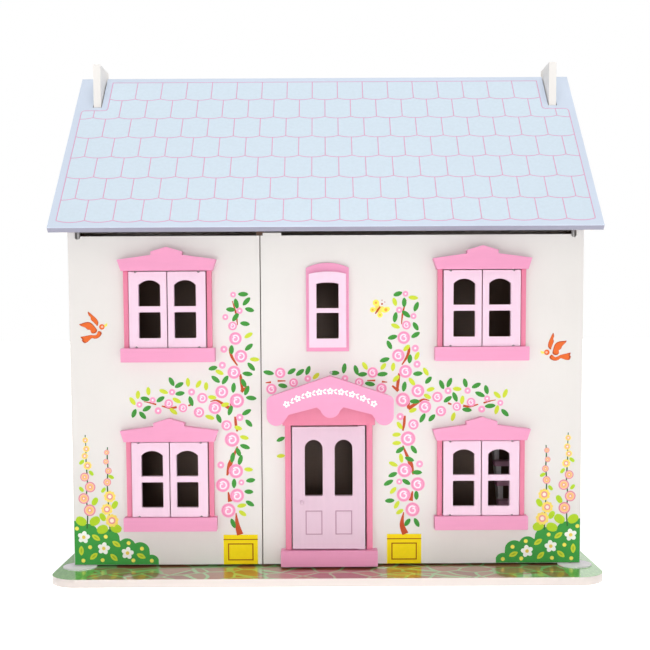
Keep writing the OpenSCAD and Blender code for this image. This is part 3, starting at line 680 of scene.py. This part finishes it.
# Branches: (x, z, width) from root to tip
RIGHT_TRUNK = [(89, 36, 5.8), (85, 47, 4), (87, 61, 0.6)]
LEFT_TRUNK = [(84, 36, 5.8), (87, 47, 4), (88.5, 61, 0.6)]
BRANCHES = [
    [(97, 85, 1), (95, 74, 4)],
    [(86, 137, 1), (91, 125, 2.6), (95, 116, 4), (98, 104, 1.4)],
    [(88, 171, 2), (87.5, 162, 2.2), (86, 154, 1.3)],
    [(92, 179, 3.2), (100, 184, 2.6), (106, 188, 1.8), (110, 189.5, 1.2), (116, 188, 0.5)],
    [(92, 179, 1.6), (92, 186, 3.4)],
    [(85, 228.5, 0.8), (91, 238, 2.2), (93, 246, 2.2), (92, 251, 0.8)],
    [(82, 219, 1.6), (81, 212, 2.6), (80, 203, 2.2), (81, 199, 1)],
    [(74, 205, 1.4), (81, 199, 2.6)],
    [(90, 301, 0.4), (86, 287, 1.4), (84.5, 274, 0.5)],
    [(137, 185, 1.6), (141, 183.5, 1.2)],
    [(154, 182, 1.8), (161, 181, 1.6), (168, 182.6, 1.2), (171, 183.4, 0.8)],
    [(177, 185, 1.4), (184, 187, 0.9), (191, 188.4, 0.3)],
]
# The spray above the canopy, one half
SPRAY = [(52, 220, 6), (62, 202, 6), (37, 209, 5), (21, 213.5, 3.8)]
SPRAY_TWIGS = [[(46, 211, 1.2), (55, 211, 2.2)], [(62.4, 209.6, 2.4), (68.5, 209, 1)]]


def draw_rose(drawing, x, z, r):
    """A rose seen from the front: a round bloom with one turn of pale petal edge."""
    drawing.shape(disc(x, z, r), "petal", 3)
    if r < 4.5:
        drawing.shape(disc(x, z, r * 0.34, count=12), "blush", 4)
        return
    drawing.shape(disc(x, z, r * 0.87), "petal_edge", 4)
    drawing.shape(disc(x, z, r * 0.76), "petal", 5)
    turn = []
    for i in range(9):
        angle = math.radians(40 + 52 * i)
        reach = r * (0.5 if i < 6 else 0.5 - 0.13 * (i - 5))
        turn.append((x + reach * math.cos(angle), z + reach * math.sin(angle), r * 0.2))
    drawing.stroke(turn, "blush", 6, 3)


def scatter_leaves(drawing, roses, allowed, count, seed):
    """Leaves round the roses, pointing away from them, none over another."""
    tries = 9000
    leaf_reach = (5.2, 9.5)
    clear_of_rose = 4.6
    clear_of_leaf = 8.6
    turn = 28
    share_of_dark = 0.6
    chance = random.Random(seed)
    places = []
    for _ in range(tries):
        if len(places) == count:
            break
        rx, rz, r = chance.choice(roses)
        around = chance.uniform(0, 360)
        reach = r + chance.uniform(*leaf_reach)
        x = rx + reach * math.cos(math.radians(around))
        z = rz + reach * math.sin(math.radians(around))
        if not allowed(x, z):
            continue
        if any(math.hypot(x - ox, z - oz) < other + clear_of_rose for ox, oz, other in roses):
            continue
        if any(math.hypot(x - ox, z - oz) < clear_of_leaf for ox, oz in places):
            continue
        places.append((x, z))
        angle = around + chance.uniform(-turn, turn)
        size = chance.uniform(0.9, 1.08)
        if chance.random() < share_of_dark:
            drawing.shape(leaf_outline(x, z, 11.4 * size, 5.3, angle, 0.62), "dark_leaf", 2)
        else:
            drawing.shape(leaf_outline(x, z, 10.2 * size, 4.9, angle, 0.56), "lime_leaf", 2)


def draw_planter(drawing, left):
    """A yellow box with a line under its rim and a frame of lines on its face."""
    width = 39
    right = left + width
    low = 2
    high = 36
    rim_low = 29.9
    rim_high = 31.1
    drawing.shape(bar(left, low, right, high), "planter", 0)
    drawing.shape(bar(left, rim_low, right, rim_high), "planter_line", 1)
    inset = 5
    line = 1.3
    inner_low = low + 4.4
    inner_high = high - 10
    drawing.shape(bar(left + inset, inner_low, right - inset, inner_low + line), "planter_line", 1)
    drawing.shape(bar(left + inset, inner_high - line, right - inset, inner_high), "planter_line", 1)
    for x in (left + inset, right - inset - line):
        drawing.shape(bar(x, inner_low + line, x + line, inner_high - line), "planter_line", 1)


def rose_tree(name, body, across, trunk, planter, near, far, window, count, seed):
    """One climbing rose in its planter. Its leaves stay between near and far, clear of the trim, and above
    the lower window, whose middle is given."""
    drawing = Drawing(name, body, "cream_paint", on_front, across)
    for branch in [trunk] + BRANCHES:
        drawing.stroke([(x, z, 0.4 + 1.2 * width) for x, z, width in branch], "bark", 1)
    for x, z, r in BLOOMS + BUDS:
        draw_rose(drawing, x, z, r)

    def allowed(x, z):
        if x < near or not 44 < z < 311:
            return False
        if body == "right_front" and (158 < z < 212 and x < 81 or z > 275 and x < 76):
            return False
        header_top = 177 if abs(x - window) < 26 else 168
        return x < far or (header_top < z < 226 and x < 204)

    scatter_leaves(drawing, BLOOMS + BUDS, allowed, count, seed)
    draw_planter(drawing, planter)
    drawing.done()


def rose_spray():
    """Roses that show above the canopy, and two loose leaves beside the door."""
    drawing = Drawing("rose_spray", "right_front", "cream_paint", on_front)
    roses = SPRAY + [(-x, z, r) for x, z, r in SPRAY]
    for x, z, r in roses:
        draw_rose(drawing, x, z, r)
    for twig in SPRAY_TWIGS:
        drawing.stroke(twig, "bark", 1)
        drawing.stroke([(-x, z, width) for x, z, width in twig], "bark", 1)

    def allowed(x, z):
        return abs(x) < 66 and z > 220 - 0.36 * abs(x - 4) and z < 228

    scatter_leaves(drawing, roses, allowed, 16, 5)
    drawing.shape(leaf_outline(-52, 145, 10.5, 4.8, 25, 0.7), "dark_leaf", 2)
    drawing.shape(leaf_outline(-52, 126, 9.5, 4.5, 5, 0.6), "lime_leaf", 2)
    drawing.done()


# ---------------------------------------------------------------- hedges and hollyhocks

# All measured from the panel's outer edge: (distance, z, radius)
HEDGE = [(0, 41, 12), (16, 38, 11.5), (40, 31, 12), (60, 22.5, 10), (75, 17, 11), (88, 5, 8.5)]
HEDGE_FLOWERS = [(11, 34), (33.5, 21), (60.5, 15.5)]
HEDGE_DOTS = [(3.5, 44), (36, 34.5), (18, 22.5), (10, 7), (32, 7.5), (77, 20.5), (67, 7), (88, 6.5),
              (62, 27)]
HEDGE_LEAVES = [(8, 18.5, 90), (25, 33.5, -35), (22, 12, 40), (48, 26, -35), (45, 10.5, -45), (76, 12, -25)]
STEMS = [[(15, 44), (16, 62), (15, 80), (16.5, 98), (15.5, 118), (15.5, 136), (15, 151)],
         [(41, 40), (40.5, 60), (39.5, 78), (39, 96), (40, 112), (39.5, 126), (40, 137)]]
PINK_BLOOMS = [(13.5, 103, 5), (19.5, 91.5, 6), (12, 78.5, 6.1), (18.5, 65, 6.7),
               (39, 131, 3), (38, 120.5, 3.2), (40.5, 110, 3.8), (39, 97, 4.4)]
YELLOW_BLOOMS = [(15, 145, 3), (16, 135, 3.4), (14, 127, 3.4), (17, 116, 4.3),
                 (41.5, 80.5, 6.1), (38, 66, 6), (43.5, 53, 6.8)]
SMALL_STEM_LEAVES = [(10.5, 120, 40), (21, 107.5, 130), (9.5, 89, 130), (43.5, 103, 150), (34.5, 88, 50)]
STEM_LEAVES = [(24.5, 75, 60), (47, 71, 60), (33, 57, 120)]
BASE_LEAVES = [(8.5, 52.5, 150), (24, 52.5, 35), (32.5, 43, 20), (48, 44, 160)]


def hedge_height(d):
    """Top of the hedge: round bushes, and between them the line that joins their middles."""
    heights = [z + math.sqrt(r * r - (d - at) ** 2) for at, z, r in HEDGE if abs(d - at) < r]
    for (start, low, _), (end, high, _) in zip(HEDGE, HEDGE[1:]):
        if start <= d <= end:
            heights.append(4 + low + (high - low) * (d - start) / (end - start))
    return max(heights + [2.5])


def hedge(name, body, side):
    """Round bushes with white flowers, yellow dots and leaves, at the panel's outer edge."""
    first = 0.5
    step = 0.5
    columns = 192
    foot = 2.2
    drawing = Drawing(name, body, "cream_paint", on_front, lambda d: side * (HALF_WIDTH - d))
    places = [first + step * i for i in range(columns)]
    drawing.strip([(d, hedge_height(d)) for d in places], [(d, foot) for d in places], "hedge", 0)
    for d, z in HEDGE_FLOWERS:
        drawing.shape(petals(d, z, 7.2, 5, 0.36, 80), "white_petal", 2)
        drawing.shape(disc(d, z, 2.1, count=12), "flower_centre", 3)
    for d, z in HEDGE_DOTS:
        drawing.shape(disc(d, z, 2.3, count=14), "bright_yellow", 1)
    for d, z, angle in HEDGE_LEAVES:
        drawing.shape(leaf_outline(d, z, 11, 5.6, angle), "lime_leaf", 1)
        drawing.shape(leaf_outline(d, z, 6, 1.8, angle), "leaf_shadow", 2)
    drawing.done()


def hollyhocks(name, body, side):
    """Two tall stems with leaves low down and round blooms up to their tips."""
    drawing = Drawing(name, body, "cream_paint", on_front, lambda d: side * (HALF_WIDTH - d))
    for stem in STEMS:
        drawing.stroke([(d, z, 1.5 if z < 130 else 1.1) for d, z in stem], "stem", 1)
    for leaves, length, width in ((SMALL_STEM_LEAVES, 7, 4), (STEM_LEAVES, 10, 6.4), (BASE_LEAVES, 13, 10)):
        for d, z, angle in leaves:
            drawing.shape(leaf_outline(d, z, length, width, angle, 0.42), "fresh_leaf", 2)
    for d, z, r in PINK_BLOOMS:
        for part, colour, layer in ((1, "dusty_pink", 3), (0.8, "peach", 4), (0.62, "apricot", 5),
                                    (0.36, "salmon", 6), (0.18, "cream_ink", 7)):
            drawing.shape(disc(d, z, r * part), colour, layer)
    for d, z, r in YELLOW_BLOOMS:
        drawing.shape(petals(d, z, r * 1.12, 9, 0.16), "soft_yellow", 3)
        drawing.shape(disc(d, z, r * 0.6), "salmon", 4)
        drawing.shape(disc(d, z, r * 0.34), "cream_ink", 5)
    drawing.done()


# ---------------------------------------------------------------- birds, butterfly, canopy, roof

UPPER_WING = [(-5.6, 17.4), (-3.2, 16.1), (0, 13.2), (3.2, 10.3), (5.1, 7.7), (6.1, 4.8),
              (4.7, 1.3), (2.9, 3.2), (0, 6.1), (-2.3, 8.4), (-2.7, 11.3), (-4.8, 13.5)]
LOWER_WING = [(-15.6, 3.2), (-12.9, 4.2), (-9, 5.5), (-4.8, 5.9), (-1.3, 4.2), (1.9, 0.6), (4.2, -2.6),
              (4.2, -4.5), (2.6, -6.4), (0, -7.1), (-2.3, -6.1), (-3.2, -3.2), (-6.4, -2.6),
              (-8.4, -0.6), (-11.3, 0.6), (-13.8, 1.6)]
BIRD_BODY = [(-14.3, -10.9), (-9.6, -10), (-3.2, -8.7), (1.6, -9), (4.2, -8), (5.5, -6.1), (5.9, -4.2),
             (8.7, -5.1), (9.6, -7.1), (8, -10), (5.1, -12.2), (1.6, -12.9), (-1.3, -12.2),
             (-3.5, -13.8), (-6.4, -16.4), (-10, -17.8), (-12.9, -15.1), (-12.5, -13.5)]
BEAK = [(12.5, 2.6), (16.1, 4.8), (15.8, 1.3), (12.6, 0)]


def bird(name, body, x, z, side, dive):
    """A bird on the wing; side is 1 when it flies to the right, dive turns its head down, in degrees."""
    drawing = Drawing(name, body, "cream_paint", on_front)

    def add(outline, colour, layer):
        drawing.shape([(x + side * px, z + pz) for px, pz in turned(outline, 0, 0, -dive)], colour, layer)

    for outline in (BIRD_BODY, LOWER_WING, UPPER_WING):
        middle_x = sum(point[0] for point in outline) / len(outline)
        middle_z = sum(point[1] for point in outline) / len(outline)
        for size, colour, layer in ((1.0, "rust", 1), (0.86, "orange", 2)):
            add([(middle_x + size * (px - middle_x), middle_z + size * (pz - middle_z))
                 for px, pz in smooth(outline, True, 3)], colour, layer)
    add(disc(9.8, 0.3, 3.1), "orange", 3)
    add(disc(10.2, 0.5, 1.3, count=12), "peach", 4)
    add(BEAK, "bright_yellow", 2)
    drawing.done()


def butterfly(x, z):
    """A yellow butterfly with four spotted wings."""
    wings = [(-2.9, 6.6, 3.7, 1), (-6.6, -1.2, 3.1, 1), (8.2, -1.2, 4.9, 0.63), (1.6, -7, 3.1, 1)]
    drawing = Drawing("butterfly", "right_front", "cream_paint", on_front)
    for px, pz, r, flat in wings:
        drawing.shape(disc(x + px, z + pz, r, flat, 20), "bright_yellow", 1)
        drawing.shape(disc(x + px, z + pz, r * 0.38, count=10), "apricot_spot", 2)
        drawing.shape(disc(x + px * 0.45, z + pz * 0.45, r * 0.7), "soft_yellow", 0)
    drawing.stroke([(x - 3.7, z - 5.7, 1.2), (x - 0.8, z - 1.4, 2.2), (x + 2, z + 2.5, 1.6)], "rust", 3)
    drawing.shape(disc(x + 3.9, z + 5.3, 1.1, count=12), "rust", 3)
    drawing.shape(disc(x + 3.9, z + 9.4, 0.6, count=8), "rust", 3)
    drawing.shape(disc(x + 7, z + 7.4, 0.6, count=8), "rust", 3)
    drawing.done()


def canopy_garland():
    """An arc of small white flowers with leaves between them on the canopy's face."""
    drawing = Drawing("canopy_garland", "right_front", "rose_paint", on_canopy)
    middle = (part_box("canopy_fascia")[0].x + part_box("canopy_fascia")[1].x) / 2 / MM
    flowers = 9
    reach = 48
    crown = 201
    sag = 14
    for i in range(2 * flowers - 1):
        d = reach * (i / (flowers - 1) - 1)
        z = crown - sag * (d / reach) ** 2
        lean = math.degrees(math.atan(-2 * sag * d / reach ** 2))
        if i % 2:
            drawing.shape(leaf_outline(middle + d, z + 1.6, 4.6, 2, lean + 35), "white_petal", 0)
            drawing.shape(leaf_outline(middle + d, z - 1.6, 4.6, 2, lean - 35), "white_petal", 0)
        else:
            drawing.shape(petals(middle + d, z, 3.9, 5, 0.4, 90 + lean), "white_petal", 1)
            drawing.shape(disc(middle + d, z, 1.1, count=10), "petal", 2)
    drawing.done()


def roof_tiles():
    """Scalloped tiles printed in thin pink lines inside a plain border that steps round the chimneys."""
    drawing = Drawing("roof_tile_print", "roof", "roof_paint", on_roof)
    length = (ROOF[1].y - ROOF[0].y) / math.cos(ROOF_PITCH) / MM
    border = 8.5
    half = ROOF[1].x / MM - border
    across = 19
    rows = 7
    width = 2 * half / across
    height = (length - 2 * border) / rows
    top = length - border
    step_s = 215
    step_x = half - width
    corner = 4
    dip = 3.2
    line = 1.0

    def tile_foot(start, end, low, middle, steps=8):
        """The curved foot of one tile; a half tile has half the curve."""
        sharpness = 2.3
        points = []
        for i in range(steps + 1):
            x = start + (end - start) * i / steps
            place = (x - middle) / (width / 2)
            points.append((x, low + dip * min(1, abs(place)) ** sharpness))
        return points

    def feet(row):
        """The feet of a row's tiles from left to right, each a list of points."""
        low = border + row * height
        curves = []
        for i in range(-1, across + 1):
            start = -half + (i + (0.5 if row % 2 else 0)) * width
            end = start + width
            middle = (start + end) / 2
            if end <= -half + 0.1 or start >= half - 0.1:
                continue
            if low > step_s and (end <= -step_x + 0.1 or start >= step_x - 0.1):
                continue
            curves.append(tile_foot(max(start, -half), min(end, half), low, middle))
        return curves

    def field(low_curve, high):
        """The tiles' blue, from a row of feet up to a straight line."""
        drawing.strip([(x, high) for x, s in low_curve], low_curve, "tile_blue", 0)

    first_feet = [point for curve in feet(0) for point in curve]
    field([point for point in first_feet if abs(point[0]) <= step_x + 0.1], top)
    for side in (1, -1):
        field([point for point in first_feet if side * point[0] >= step_x - 0.1], step_s)
        bend = [(side * half, border + dip), (side * half, step_s - corner),
                (side * (half - 1.2), step_s - 1.2), (side * (half - corner), step_s),
                (side * (step_x + corner), step_s), (side * (step_x + 1.2), step_s + 1.2),
                (side * step_x, step_s + corner), (side * step_x, top)]
        drawing.stroke([(x, s, line) for x, s in bend], "tile_line", 1, 1)
    top_line = bar(-step_x - line / 2, top - line / 2, step_x + line / 2, top + line / 2)
    drawing.shape(top_line, "tile_line", 1)
    for row in range(rows):
        low = border + row * height
        for curve in feet(row):
            drawing.stroke([(x, s, line) for x, s in curve], "tile_line", 1, 1)
            x = curve[-1][0]
            if x > half - 1 or (low > step_s and x > step_x - 1):
                continue
            high = low + height
            if low < step_s < high and abs(x) > step_x + 1:
                high = step_s
            high = min(high, top)
            drawing.shape(bar(x - line / 2, low + dip - 0.3, x + line / 2, high), "tile_line", 1)
    drawing.done()


make_camera()
make_studio()
finish_nodes()

INKS = {name: ink("ink_" + name, code) for name, code in INK_COLOURS.items()}
rose_tree("rose_tree_left", "left_front", lambda x: -(x + 15), LEFT_TRUNK, 64, 62, 92, 162, 84, 11)
rose_tree("rose_tree_right", "right_front", lambda x: x, RIGHT_TRUNK, 68, 65, 103, 174, 100, 23)
rose_spray()
for side_name, side in (("left", -1), ("right", 1)):
    hedge("hedge_" + side_name, side_name + "_front", side)
    hollyhocks("hollyhocks_" + side_name, side_name + "_front", side)
bird("bird_left", "left_front", -261.5, 272.4, 1, 0)
bird("bird_right", "right_front", 257, 245.4, -1, 24)
butterfly(58.8, 291.5)
canopy_garland()
roof_tiles()
